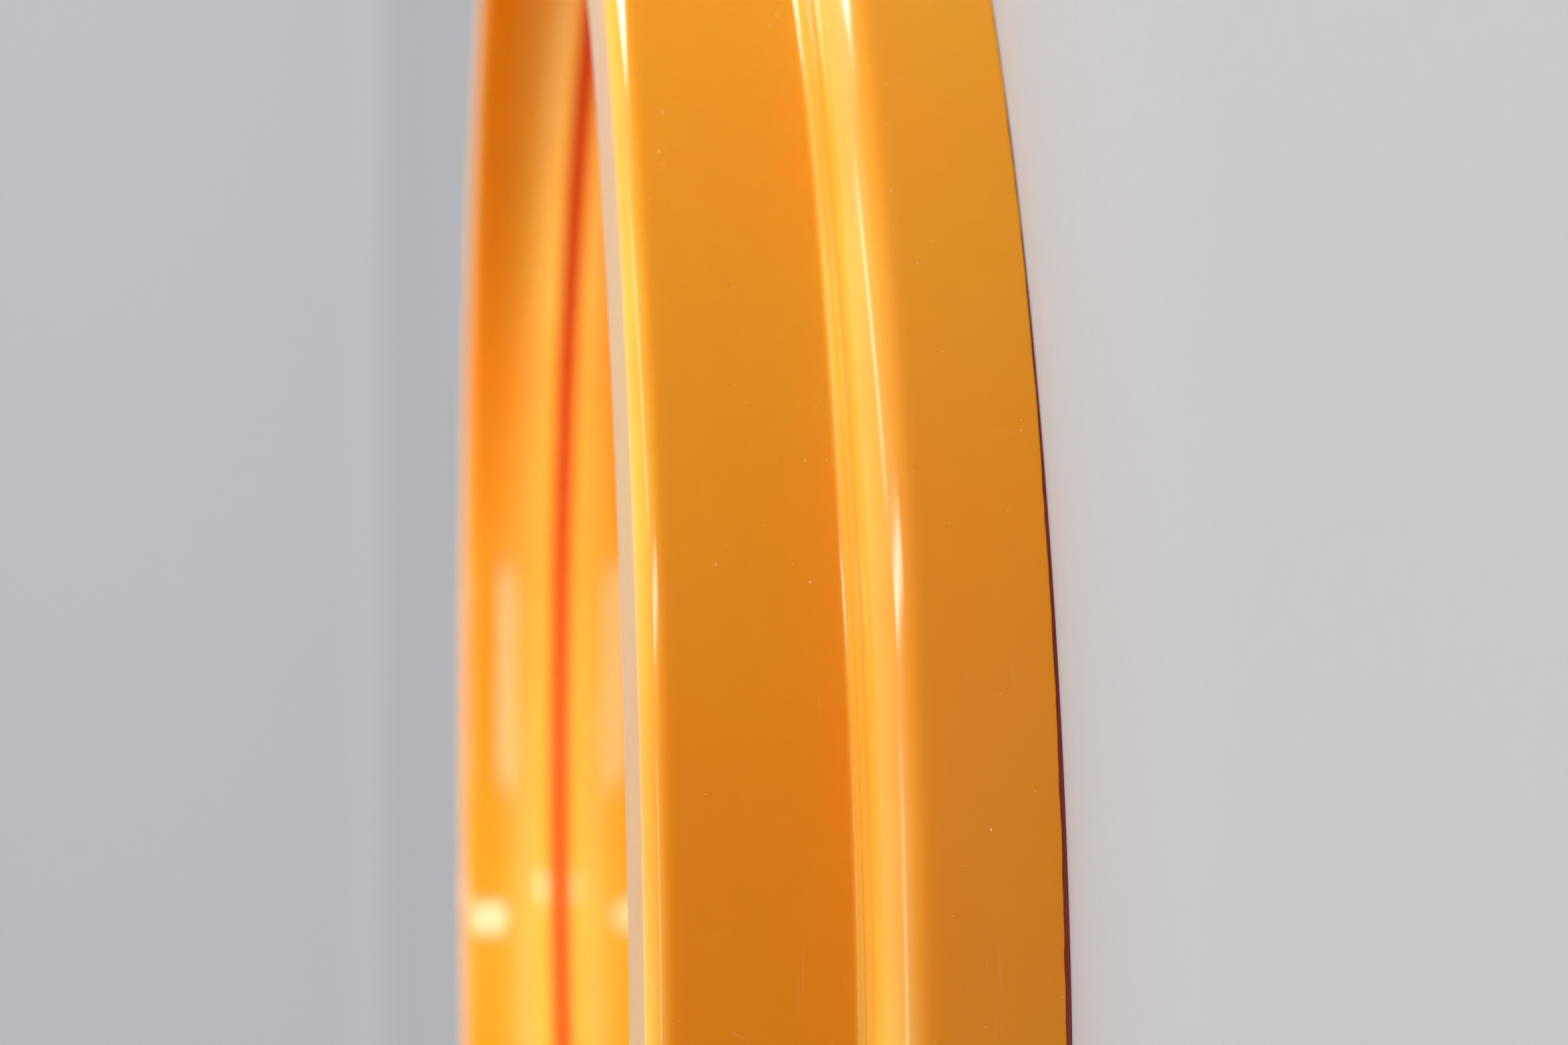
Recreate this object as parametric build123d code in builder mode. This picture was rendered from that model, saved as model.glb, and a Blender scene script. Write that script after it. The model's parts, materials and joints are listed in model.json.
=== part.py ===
from build123d import *
import math
import os
import numpy as np

# A flat curved instrument with a raised rim, a round head, a horn, a tail and three cutouts.
# It lies flat on its rubber strip. +Z is up, +X points to the round head, the tail is at -X.
# The origin is on the resting plane, under the middle of the bounding box. Millimetres.

os.makedirs("parts", exist_ok=True)

# ---------------------------------------------------------------- driving dimensions
# Names ending in _D are distances inward from the outer outline. Pairs are (from, to).
HEIGHT = 20.0             # resting plane to the top of the raised rim
FIT_GAP = 0.1             # assembly gap round plates, collars and cups
OVERLAP = 2               # how far a thin ring runs into the body it joins
CUT_OVERRUN = 1           # how far a cut runs past the surface it opens
PLATE_TIP_R = 2.5         # inner corners of the plates, rebates and strip

STRIP_PROUD = 0.3         # how far the rubber strip stands out under the frame
STRIP_D = (1.0, 11.5)
STRIP_TOP_GAP = 0.05      # between the strip and the top of its groove
TREAD_D = 0.1             # outer edge of the strip's tread, almost flush with the frame
TREAD_GAP = 0.02          # between the tread and the foot of the frame
GROOVE_TOP = 2.4          # top of the groove that holds the strip

FRAME_LEDGE_Z = 9.05      # top of the frame, where the rim stands on it
FRAME_SHOULDER_R = 2.6    # rounded outer shoulder
FRAME_SHELF_Z = 7.3       # shelf the web plate lies on
FRAME_REBATE_D = 11.1     # wall of the rebate round the web plate
FRAME_INNER_D = 17.0      # inner edge of the frame ring
FRAME_INNER_CORNER_R = 3.0
PANEL_REBATE_D = 13.0     # wall of the rebate round the back panel

WEB_T = 3.0
WEB_TOP = FRAME_SHELF_Z + WEB_T
WEB_EDGE_D = 11.3
PANEL_Z = (0.9, 3.3)
PANEL_EDGE_D = 13.2
CAVITY_H = FRAME_SHELF_Z - PANEL_Z[1]   # space between the back panel and the web plate

RIM_OUTER_D = 5.7         # rim wall, set in from the frame: this leaves the drawing ledge
RIM_STEP_D = 10.9         # the rim drops to the ledge outside this and clears the web inside it
RIM_WALL_D = 11.8         # inner face of the rim's wall
RIM_WALL_TIP_R = 6.5      # inner corners of the wall, in the tips of the horn and the tail
RIM_FOOT_D = 16.0         # inner edge of the rim's foot
RIM_FOOT_Z = 10.9         # underside of the foot, on the gasket
RIM_FOOT_T = 0.4          # thickness of the foot's edge, where the cove runs out
RIM_OUTER_R = 1.5         # outer top edge
RIM_INNER_R = 0.9         # inner top edge
RIM_COVE_R = 4.1          # cove between the wall and the foot
GASKET_D = (11.6, 16.3)   # a little proud of the foot
GASKET_CORNER_R = 2.2

SCREW_GAP = 0.15          # radial clearance of the screw holes
SINK_H = 1.5              # depth of the countersinks
RIM_SCREW_D = 8.3         # line of the rim screws
RIM_SCREW_COUNT = 22
RIM_SCREW_R = 1.25
RIM_SCREW_HEAD_R = 2.35
RIM_SINK_R = 2.5
RIM_SCREW_TOP = 14.6
BACK_SCREW_R = 1.5
BACK_SCREW_HEAD_R = 2.85
BACK_SINK_R = 3.0
BACK_SCREW_TOP = 6.8
BACK_DRILL_H = 20         # centred on the panel's underside, so it passes right through

INSERT_R = 1.9
INSERT_Z = (9.25, 15.0)
INSERT_HOLE_GAP = 0.03    # radial
INSERT_HOLE_END = 0.4     # room left above the insert
INSERT_BORE_GAP = 0.05    # round the screw
INSERT_GROOVE_FROM = 2.4  # above the bottom of the insert
INSERT_GROOVE_W = 0.9
INSERT_GROOVE_DEPTH = 0.2

COLLAR_T = 1.6            # wall of the collars that line the cutouts
COLLAR_FLANGE = 4.5       # top flange, measured out from the cutout
COLLAR_FLANGE_T = 1.0
COLLAR_OUTER_R = 0.6      # outer top edge
COLLAR_INNER_R = 0.5      # inner top edge

POST_R = 4.0
POST_BORE_R = 1.55
RIB_W = 2.4

CUP_R = 9.0               # magnet cups in the back panel
CUP_FLANGE_R = 11.0
CUP_Z = (0.5, 4.5)
CUP_WALL = 1.2
CUP_ROOF = 1.0
MAGNET_R = 7.4
MAGNET_PROUD = 0.1        # how far the magnets stand out below the cups

EYELET_BORE_R = 5.0       # hanging hole
EYELET_R = 6.2
EYELET_FLANGE_R = 9.0
EYELET_EDGE_T = 0.35      # thickness of the flange's outer edge
EYELET_TOP = WEB_TOP + 1.1
EYELET_CREST_R = 6.1      # radius at which the flange is highest
WASHER_R = 8.6
WASHER_T = 0.8
WASHER_GAP = 0.05

# ---------------------------------------------------------------- plan, as (x, y) in a drafting frame
HEAD_R = 104.6
HEAD_X = 195.4
HEAD_ARC = [
    (HEAD_X + HEAD_R * math.cos(math.radians(a)), HEAD_R * math.sin(math.radians(a)))
    for a in np.linspace(-94.5, 112, 22)
]
# Counter-clockwise: lower flank, round head, bay, horn, long hollow, tail.
OUTLINE_STATIONS = (
    [(-262, -8), (-205, -39), (-130, -65.5), (-50, -84.5), (35, -96.3), (115, -102.6)]
    + HEAD_ARC
    + [(128, 82), (104, 60), (80, 55), (60, 71), (44, 96), (32, 103.5), (21, 98), (9, 76),
       (-19, 47), (-63, 24), (-118, 14), (-176, 19), (-228, 37), (-262, 61), (-283, 77),
       (-295, 76), (-299, 63), (-289, 24)]
)
CUTOUT_STATIONS = {
    "head": [(257, -46), (236, -35), (206, -25), (174, -12), (147, 14), (117, 26), (89, 13),
             (78, -18), (91, -51), (129, -70), (178, -75), (222, -70), (250, -59)],
    "tail": [(-178, -18), (-146, -30), (-97, -47), (-40, -59), (12, -63), (42, -48), (48, -20),
             (31, 3), (-2, 8), (-42, -3), (-85, -12), (-126, -14), (-163, -11)],
    "horn": [(33, 68), (25, 58), (20, 46), (23, 35), (33, 30), (43, 36), (46, 47), (40, 59)],
}
EYELET_STATION = (-245, 15)
CUP_STATIONS = [(191, 44), (244, 4), (62, 14), (-200, -7)]
POST_STATIONS = [(-258, 26), (-221, 3), (-60, 1), (-14, 24), (8, 31), (60, 34), (123, 42),
                 (166, 62), (222, 62), (264, 32), (257, -15), (213, -6), (144, -82), (65, -62),
                 (62, -41)]
# The two ends of each rib.
RIB_STATIONS = [((140, 32), (180, 8)), ((205, 54), (232, 24)), ((59, -3), (61, -33)),
                ((-30, 14), (-48, 6)), ((186, 16), (204, 3))]

# Points per curve, and the length over which a curve is softened.
OUTLINE_POINTS, OUTLINE_SOFTEN = 3200, 4.0
CUTOUT_POINTS, CUTOUT_SOFTEN = 1200, 2.0
INSET_POINTS = 1600
CUTOUT_INSET_POINTS = 900


# ---------------------------------------------------------------- curves as closed polylines
def even(curve, count):
    """Points evenly spaced along a closed polyline."""
    ring = np.vstack([curve, curve[:1]])
    travel = np.r_[0, np.cumsum(np.hypot(*np.diff(ring, axis=0).T))]
    stops = np.linspace(0, travel[-1], count, endpoint=False)
    return np.c_[np.interp(stops, travel, ring[:, 0]), np.interp(stops, travel, ring[:, 1])]


def fair(stations, count, soften):
    """A closed cubic spline through the stations, then softened along its length."""
    knots = np.asarray(stations, float)
    size = len(knots)
    ring = np.vstack([knots, knots[:1]])
    span = np.hypot(*np.diff(ring, axis=0).T) ** 0.75
    knot_at = np.r_[0, np.cumsum(span)]

    # second derivatives at the knots, from equal slopes on both sides of each
    matrix, known = np.zeros((size, size)), np.zeros((size, 2))
    for i in range(size):
        matrix[i, (i - 1) % size] += span[i - 1]
        matrix[i, i] += 2 * (span[i - 1] + span[i])
        matrix[i, (i + 1) % size] += span[i]
        slope_after = (ring[i + 1] - ring[i]) / span[i]
        slope_before = (ring[i] - knots[i - 1]) / span[i - 1]
        known[i] = 6 * (slope_after - slope_before)
    second = np.linalg.solve(matrix, known)
    second = np.vstack([second, second[:1]])

    stops = np.linspace(0, knot_at[-1], count * 8, endpoint=False)
    k = np.clip(np.searchsorted(knot_at, stops, side="right") - 1, 0, size - 1)
    to_next = (knot_at[k + 1] - stops)[:, None]
    from_last = (stops - knot_at[k])[:, None]
    width = span[k][:, None]
    curve = (second[k] * to_next**3 + second[k + 1] * from_last**3) / (6 * width)
    curve += (ring[k] / width - second[k] * width / 6) * to_next
    curve += (ring[k + 1] / width - second[k + 1] * width / 6) * from_last
    curve = even(curve, count)

    # Gaussian low-pass filter along the curve
    length = np.hypot(*(np.roll(curve, -1, 0) - curve).T).sum()
    frequency = np.fft.fftfreq(count, d=length / count)
    damping = np.exp(-2 * (math.pi * frequency * soften) ** 2)[:, None]
    return even(np.fft.ifft(np.fft.fft(curve, axis=0) * damping, axis=0).real, count)


def nearest(points, curve, batch=400):
    """Distance from each point to a closed polyline, worked out in batches to save memory."""
    step = np.roll(curve, -1, 0) - curve
    step_squared = (step**2).sum(1)
    distance = np.empty(len(points))
    for i in range(0, len(points), batch):
        gap = points[i : i + batch][:, None] - curve[None]
        along = np.clip((gap * step).sum(2) / step_squared, 0, 1)
        off = gap - along[..., None] * step
        distance[i : i + batch] = np.sqrt((off**2).sum(2).min(1))
    return distance


def inset(curve, distance, count=INSET_POINTS):
    """The curve moved inward (outward if negative), without the loops of its tight corners."""
    along = np.roll(curve, -1, 0) - np.roll(curve, 1, 0)
    along /= np.hypot(*along.T)[:, None]
    moved = curve + distance * np.c_[-along[:, 1], along[:, 0]]
    return even(moved[nearest(moved, curve) >= abs(distance) - 0.02], count)


def inset_round(curve, distance, corner_r, count=INSET_POINTS):
    """The same, inward, with every inward corner rounded to the given radius."""
    inner = inset(curve, distance + corner_r, count)
    along = np.roll(inner, -1, 0) - inner
    heading = np.arctan2(along[:, 1], along[:, 0])
    rounded = []
    for i in range(count):
        turn = (heading[i] - heading[i - 1] + math.pi) % (2 * math.pi) - math.pi
        # a sharp turn is fanned out into points about 0.25 apart
        fan = max(1, int(abs(turn) * corner_r / 0.25)) if turn > 0.02 else 1
        for j in range(fan):
            angle = heading[i - 1] + turn * (j + 0.5) / fan
            rounded.append(inner[i] + corner_r * np.array([math.sin(angle), -math.cos(angle)]))
    return even(np.array(rounded), count)


# ---------------------------------------------------------------- polylines to tangent arcs
def arc_between(start, heading, stop):
    """Middle point, centre and radius of the arc that leaves start along heading, ends at stop."""
    chord = stop - start
    size = float(np.hypot(*chord))
    left = np.array([-chord[1], chord[0]]) / size
    lean = math.atan2(chord[0] * heading[1] - chord[1] * heading[0], float(chord @ heading))
    middle = (start + stop) / 2 + left * size / 2 * math.tan(lean / 2)
    if abs(lean) < 1e-5:
        return middle, None, math.inf
    centre = (start + stop) / 2 - left * size / 2 / math.tan(lean)
    return middle, centre, size / 2 / abs(math.sin(lean))


def arc_pair(curve, headings, first, last):
    """Two tangent arcs between two points of the curve, and how far the curve strays from them."""
    count = len(curve)
    start, stop = curve[first % count], curve[last % count]
    leaving, arriving = headings[first % count], headings[last % count]
    chord = stop - start
    chord_squared = float(chord @ chord)
    spread = 2 * (1 - float(leaving @ arriving))
    across = float(chord @ (leaving + arriving))
    if spread < 1e-9:
        reach = chord_squared / (2 * across)
    else:
        reach = (math.sqrt(across**2 + spread * chord_squared) - across) / spread
    joint = (start + stop + reach * (leaving - arriving)) / 2
    fits = (arc_between(start, leaving, joint), arc_between(stop, -arriving, joint))

    between = curve[np.arange(first + 1, last) % count]
    before_joint = ((between - joint) @ (leaving + arriving)) < 0
    stray = 0.0
    for k, (_, centre, radius) in enumerate(fits):
        near = between[before_joint == (k == 0)]
        if len(near):
            if centre is None:
                along = joint - (start, stop)[k]
                normal = np.array([-along[1], along[0]])
                off = np.abs((near - joint) @ normal) / np.hypot(*along)
            else:
                off = np.abs(np.hypot(*(near - centre).T) - radius)
            stray = max(stray, float(off.max()))
    return [(start, fits[0][0], joint), (joint, fits[1][0], stop)], stray


def arcs(curve, tolerance=0.03):
    """The closed polyline as a chain of tangent arcs, each given by three points."""
    count = len(curve)
    headings = np.roll(curve, -3, 0) - np.roll(curve, 3, 0)
    headings /= np.hypot(*headings.T)[:, None]
    done, chain = 0, []
    while done < count:
        take = 4
        while (done + take < count
               and float(headings[done % count] @ headings[(done + take) % count]) > 0.1):
            longer = int(take * 1.25) + 1
            if arc_pair(curve, headings, done, done + longer)[1] > tolerance:
                break
            take = longer
        stop = min(done + take, count)
        if 0 < count - stop < 6:      # leave no sliver at the end
            stop = count
        chain += arc_pair(curve, headings, done, stop)[0]
        done = stop
    return chain


# ---------------------------------------------------------------- plan in the part's frame
OUTLINE = fair(OUTLINE_STATIONS, OUTLINE_POINTS, OUTLINE_SOFTEN)
SHIFT = -(OUTLINE.min(0) + OUTLINE.max(0)) / 2      # brings the bounding box's centre to the origin
OUTLINE = OUTLINE + SHIFT
CUTOUTS = {
    name: fair(stations, CUTOUT_POINTS, CUTOUT_SOFTEN) + SHIFT
    for name, stations in CUTOUT_STATIONS.items()
}


def shifted(points):
    """Places given in the drafting frame, moved to the part's frame."""
    return [(x + SHIFT[0], y + SHIFT[1]) for x, y in points]


EYELET_AT = shifted([EYELET_STATION])[0]
CUPS_AT = shifted(CUP_STATIONS)
POSTS_AT = shifted(POST_STATIONS)
SCREW_LINE = inset(OUTLINE, RIM_SCREW_D)
RIM_SCREWS_AT = [
    tuple(SCREW_LINE[int((i + 0.5) * len(SCREW_LINE) / RIM_SCREW_COUNT)])
    for i in range(RIM_SCREW_COUNT)
]

# ---------------------------------------------------------------- modelling helpers
ON_BASE = (Align.CENTER, Align.CENTER, Align.MIN)


def lifted(places, z):
    """The places at height z."""
    return [(x, y, z) for x, y in places]


def fill(curve, mode=Mode.ADD):
    """A face bounded by the smooth closed curve, for the open sketch."""
    with BuildLine(mode=Mode.PRIVATE) as loop:
        for start, middle, stop in arcs(curve):
            if np.hypot(*(middle - (start + stop) / 2)) < 1e-6:
                Line(tuple(start), tuple(stop))
            else:
                ThreePointArc(tuple(start), tuple(middle), tuple(stop))
    make_face(loop.edges(), mode=mode)


def fill_between(outer, inner):
    """The band between two curves, for an empty sketch."""
    fill(outer)
    fill(inner, mode=Mode.SUBTRACT)


def around(cutout, distance):
    """The cutout's edge moved out into the plate."""
    return inset(cutout, -distance, CUTOUT_INSET_POINTS)


def cut_openings():
    """Cuts the room for the collars and the eyelet out of the open sketch."""
    for cutout in CUTOUTS.values():
        fill(around(cutout, COLLAR_T + FIT_GAP), mode=Mode.SUBTRACT)
    with Locations(EYELET_AT):
        Circle(EYELET_R + FIT_GAP, mode=Mode.SUBTRACT)


def drill_countersunk(places, screw_r, sink_r, sink_z, drill_z, drill_h):
    """Cuts holes centred on drill_z, countersunk from sink_z up, into the open part."""
    with Locations(*lifted(places, drill_z)):
        Cylinder(radius=screw_r + SCREW_GAP, height=drill_h, mode=Mode.SUBTRACT)
    with Locations(*lifted(places, sink_z)):
        Cone(bottom_radius=sink_r, top_radius=screw_r + SCREW_GAP, height=SINK_H,
             align=ON_BASE, mode=Mode.SUBTRACT)


def loop_at(part, z, outermost=True):
    """The edges of the outermost or innermost loop in the plane at height z."""
    level = [
        e for e in part.edges()
        if abs(e.bounding_box().min.Z - z) < 1e-3 and abs(e.bounding_box().max.Z - z) < 1e-3
    ]
    loops = sorted(Wire.combine(level, tol=1e-3), key=lambda wire: wire.length)
    return loops[-1 if outermost else 0].edges()


def copies(single, places):
    """One part that holds a copy of the single piece at each place."""
    with BuildPart() as placed:
        with Locations(*places):
            add(single.part)
    return placed


# ---------------------------------------------------------------- edge frame: the lower, outer limb
with BuildPart() as edge_frame:
    with BuildSketch(Plane.XY.offset(STRIP_PROUD)):
        fill_between(OUTLINE, inset_round(OUTLINE, FRAME_INNER_D, FRAME_INNER_CORNER_R))
    extrude(amount=FRAME_LEDGE_Z - STRIP_PROUD)
    with BuildSketch(Plane.XY.offset(FRAME_SHELF_Z)):          # rebate for the web plate
        fill(inset_round(OUTLINE, FRAME_REBATE_D, PLATE_TIP_R))
    extrude(amount=FRAME_LEDGE_Z - FRAME_SHELF_Z + CUT_OVERRUN, mode=Mode.SUBTRACT)
    with BuildSketch(Plane.XY.offset(STRIP_PROUD)):            # rebate for the back panel
        fill(inset_round(OUTLINE, PANEL_REBATE_D, PLATE_TIP_R))
    extrude(amount=PANEL_Z[1] - STRIP_PROUD, mode=Mode.SUBTRACT)
    with BuildSketch(Plane.XY.offset(STRIP_PROUD)):            # groove for the rubber strip
        fill_between(inset(OUTLINE, STRIP_D[0] - FIT_GAP),
                     inset_round(OUTLINE, STRIP_D[1] + FIT_GAP, PLATE_TIP_R))
    extrude(amount=GROOVE_TOP - STRIP_PROUD, mode=Mode.SUBTRACT)
    fillet(loop_at(edge_frame, FRAME_LEDGE_Z), radius=FRAME_SHOULDER_R)
    drill_countersunk(RIM_SCREWS_AT, RIM_SCREW_R, RIM_SINK_R, sink_z=GROOVE_TOP,
                      drill_z=FRAME_LEDGE_Z, drill_h=2 * (FRAME_LEDGE_Z - GROOVE_TOP))

# ---------------------------------------------------------------- rubber strip it all stands on
with BuildPart() as friction_strip:
    with BuildSketch(Plane.XY):
        fill_between(inset(OUTLINE, STRIP_D[0]), inset_round(OUTLINE, STRIP_D[1], PLATE_TIP_R))
    extrude(amount=GROOVE_TOP - STRIP_TOP_GAP)
    with BuildSketch(Plane.XY):                                # thin tread under the frame's foot
        fill_between(inset(OUTLINE, TREAD_D), inset(OUTLINE, STRIP_D[0] + OVERLAP))
    extrude(amount=STRIP_PROUD - TREAD_GAP)

# ---------------------------------------------------------------- web plate: the recessed face
with BuildPart() as web_plate:
    with BuildSketch(Plane.XY.offset(FRAME_SHELF_Z)):
        fill(inset_round(OUTLINE, WEB_EDGE_D, PLATE_TIP_R))
        cut_openings()
    extrude(amount=WEB_T)

# ---------------------------------------------------------------- raised rim: the upper, inner limb
RIM_FOOT_TIP_R = RIM_WALL_TIP_R - (RIM_FOOT_D - RIM_WALL_D)
with BuildPart() as perimeter_rim:
    with BuildSketch(Plane.XY.offset(FRAME_LEDGE_Z)):          # wall, from the ledge up
        fill_between(inset(OUTLINE, RIM_OUTER_D), inset_round(OUTLINE, RIM_WALL_D, RIM_WALL_TIP_R))
    extrude(amount=HEIGHT - FRAME_LEDGE_Z)
    with BuildSketch(Plane.XY.offset(RIM_FOOT_Z)):             # foot, over the gasket
        fill_between(inset(OUTLINE, RIM_OUTER_D + OVERLAP),
                     inset_round(OUTLINE, RIM_FOOT_D, RIM_FOOT_TIP_R))
    extrude(amount=RIM_FOOT_T)
    with BuildSketch(Plane.XY.offset(FRAME_LEDGE_Z)):          # step that clears the web plate
        fill(inset_round(OUTLINE, RIM_STEP_D, PLATE_TIP_R))
    extrude(amount=RIM_FOOT_Z - FRAME_LEDGE_Z, mode=Mode.SUBTRACT)
    fillet(loop_at(perimeter_rim, RIM_FOOT_Z + RIM_FOOT_T), radius=RIM_COVE_R)
    fillet(loop_at(perimeter_rim, HEIGHT), radius=RIM_OUTER_R)
    fillet(loop_at(perimeter_rim, HEIGHT, outermost=False), radius=RIM_INNER_R)
    with Locations(*lifted(RIM_SCREWS_AT, FRAME_LEDGE_Z)):     # blind holes for the inserts
        Cylinder(radius=INSERT_R + INSERT_HOLE_GAP,
                 height=INSERT_Z[1] + INSERT_HOLE_END - FRAME_LEDGE_Z,
                 align=ON_BASE, mode=Mode.SUBTRACT)

# ---------------------------------------------------------------- gasket between rim foot and web
with BuildPart() as rim_gasket:
    with BuildSketch(Plane.XY.offset(WEB_TOP)):
        fill_between(inset_round(OUTLINE, GASKET_D[0], PLATE_TIP_R),
                     inset_round(OUTLINE, GASKET_D[1], GASKET_CORNER_R))
    extrude(amount=RIM_FOOT_Z - WEB_TOP)

# ---------------------------------------------------------------- back panel, on the underside
with BuildPart() as back_panel:
    with BuildSketch(Plane.XY.offset(PANEL_Z[0])):
        fill(inset_round(OUTLINE, PANEL_EDGE_D, PLATE_TIP_R))
        cut_openings()
        with Locations(*CUPS_AT):
            Circle(CUP_R + FIT_GAP, mode=Mode.SUBTRACT)
    extrude(amount=PANEL_Z[1] - PANEL_Z[0])
    drill_countersunk(POSTS_AT, BACK_SCREW_R, BACK_SINK_R, sink_z=PANEL_Z[0],
                      drill_z=PANEL_Z[0], drill_h=BACK_DRILL_H)


# ---------------------------------------------------------------- collars that line the cutouts
def collar(cutout):
    """A thin wall through both plates with a flange that lies on the web."""
    top = WEB_TOP + COLLAR_FLANGE_T
    with BuildPart() as made:
        with BuildSketch(Plane.XY.offset(PANEL_Z[0])):
            fill_between(around(cutout, COLLAR_T), cutout)
        extrude(amount=top - PANEL_Z[0])
        with BuildSketch(Plane.XY.offset(WEB_TOP)):
            fill_between(around(cutout, COLLAR_FLANGE), around(cutout, COLLAR_T / 2))
        extrude(amount=COLLAR_FLANGE_T)
        fillet(loop_at(made, top), radius=COLLAR_OUTER_R)
        fillet(loop_at(made, top, outermost=False), radius=COLLAR_INNER_R)
    return made


# ---------------------------------------------------------------- hanging eyelet and its washer
with BuildPart() as hanging_eyelet:
    with BuildSketch(Plane.XZ):
        with BuildLine():
            flange_edge = (EYELET_FLANGE_R, WEB_TOP + EYELET_EDGE_T)
            crest = (EYELET_CREST_R, EYELET_TOP)
            mouth = (EYELET_BORE_R, WEB_TOP)
            Polyline((EYELET_BORE_R, PANEL_Z[0]), (EYELET_R, PANEL_Z[0]), (EYELET_R, WEB_TOP),
                     (EYELET_FLANGE_R, WEB_TOP), flange_edge)
            ThreePointArc(flange_edge, (7.6, EYELET_TOP - 0.08), crest)
            ThreePointArc(crest, (5.32, EYELET_TOP - 0.32), mouth)
            Line(mouth, (EYELET_BORE_R, PANEL_Z[0]))
        make_face()
    revolve(axis=Axis.Z)
hanging_eyelet.part.position = (*EYELET_AT, 0)

with BuildPart() as eyelet_washer:
    with BuildSketch(Plane.XY.offset(PANEL_Z[1])):
        with Locations(EYELET_AT):
            Circle(WASHER_R)
            Circle(EYELET_R + WASHER_GAP, mode=Mode.SUBTRACT)
    extrude(amount=WASHER_T)

# ---------------------------------------------------------------- posts and ribs between the plates
with BuildPart() as spacer_posts:
    with BuildSketch(Plane.XY.offset(PANEL_Z[1])):
        with Locations(*POSTS_AT):
            Circle(POST_R)
            Circle(POST_BORE_R, mode=Mode.SUBTRACT)
    extrude(amount=CAVITY_H)

with BuildPart() as stiffening_ribs:
    with BuildSketch(Plane.XY.offset(PANEL_Z[1])):
        for (x0, y0), (x1, y1) in RIB_STATIONS:
            x, y = shifted([((x0 + x1) / 2, (y0 + y1) / 2)])[0]
            angle = math.degrees(math.atan2(y1 - y0, x1 - x0))
            with Locations(Location((x, y, 0), (0, 0, angle))):
                SlotOverall(math.hypot(x1 - x0, y1 - y0), RIB_W)
    extrude(amount=CAVITY_H)

# ---------------------------------------------------------------- fasteners
HEAD_EDGE_H = 0.15        # straight edge of the screw head
HEAD_H = 1.45
POINT_H = 0.6
POINT_RATIO = 0.55        # flat end of the point, to the shank's radius
SOCKET_RATIO = 0.75       # corner radius of the hexagon socket, to the shank's radius
SOCKET_DEPTH = 1.0


def countersunk_screw(shank_r, head_r, bottom, top):
    """A screw on the Z axis, head down, with a hexagon socket and a tapered point."""
    with BuildPart() as made:
        with BuildSketch(Plane.XZ):
            with BuildLine():
                Polyline((0, bottom), (head_r, bottom), (head_r, bottom + HEAD_EDGE_H),
                         (shank_r, bottom + HEAD_H), (shank_r, top - POINT_H),
                         (shank_r * POINT_RATIO, top), (0, top), close=True)
            make_face()
        revolve(axis=Axis.Z)
        with BuildSketch(Plane.XY.offset(bottom)):
            RegularPolygon(radius=shank_r * SOCKET_RATIO, side_count=6)
        extrude(amount=SOCKET_DEPTH, mode=Mode.SUBTRACT)
    return made


rim_screw = countersunk_screw(RIM_SCREW_R, RIM_SCREW_HEAD_R, GROOVE_TOP, RIM_SCREW_TOP)
back_screw = countersunk_screw(BACK_SCREW_R, BACK_SCREW_HEAD_R, PANEL_Z[0], BACK_SCREW_TOP)

with BuildPart() as rim_insert:
    with BuildSketch(Plane.XY.offset(INSERT_Z[0])):
        Circle(INSERT_R)
        Circle(RIM_SCREW_R + INSERT_BORE_GAP, mode=Mode.SUBTRACT)
    extrude(amount=INSERT_Z[1] - INSERT_Z[0])
    with BuildSketch(Plane.XY.offset(INSERT_Z[0] + INSERT_GROOVE_FROM)):   # groove round the outside
        Circle(INSERT_R + CUT_OVERRUN)
        Circle(INSERT_R - INSERT_GROOVE_DEPTH, mode=Mode.SUBTRACT)
    extrude(amount=INSERT_GROOVE_W, mode=Mode.SUBTRACT)

# ---------------------------------------------------------------- magnets in cups, in the back panel
CUP_BORE_R = CUP_R - CUP_WALL
CUP_ROOF_Z = CUP_Z[1] - CUP_ROOF
with BuildPart() as magnet_cup:
    with BuildSketch(Plane.XZ):
        with BuildLine():
            Polyline((0, CUP_Z[1]), (CUP_FLANGE_R, CUP_Z[1]), (CUP_FLANGE_R, PANEL_Z[1]),
                     (CUP_R, PANEL_Z[1]), (CUP_R, CUP_Z[0]), (CUP_BORE_R, CUP_Z[0]),
                     (CUP_BORE_R, CUP_ROOF_Z), (0, CUP_ROOF_Z), close=True)
        make_face()
    revolve(axis=Axis.Z)

with BuildPart() as magnets:
    with Locations(*lifted(CUPS_AT, CUP_Z[0] - MAGNET_PROUD)):
        Cylinder(radius=MAGNET_R, height=CUP_ROOF_Z - CUP_Z[0] + MAGNET_PROUD, align=ON_BASE)

# ---------------------------------------------------------------- one file per piece
PIECES = {
    "edge_frame": edge_frame,
    "friction_strip": friction_strip,
    "web_plate": web_plate,
    "perimeter_rim": perimeter_rim,
    "rim_gasket": rim_gasket,
    "back_panel": back_panel,
    **{f"{name}_collar": collar(cutout) for name, cutout in CUTOUTS.items()},
    "hanging_eyelet": hanging_eyelet,
    "eyelet_washer": eyelet_washer,
    "spacer_posts": spacer_posts,
    "stiffening_ribs": stiffening_ribs,
    "rim_screws": copies(rim_screw, RIM_SCREWS_AT),
    "rim_inserts": copies(rim_insert, RIM_SCREWS_AT),
    "back_screws": copies(back_screw, POSTS_AT),
    "magnet_cups": copies(magnet_cup, CUPS_AT),
    "magnets": magnets,
}
for name, piece in PIECES.items():
    piece.part.label = name
    export_step(piece.part, f"parts/{name}.step")
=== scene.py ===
"""A closed curve of orange plastic with a rounded rim, lying flat on a pale studio floor.

The outline lies in the XY plane, centred on the origin, with z up and the table at z = 0.
The round head is at the +x end and the narrow tail at the -x end.
The outline runs anticlockwise seen from above, so inward is to the left of its direction.
"""
import json
import math
from functools import lru_cache

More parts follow.
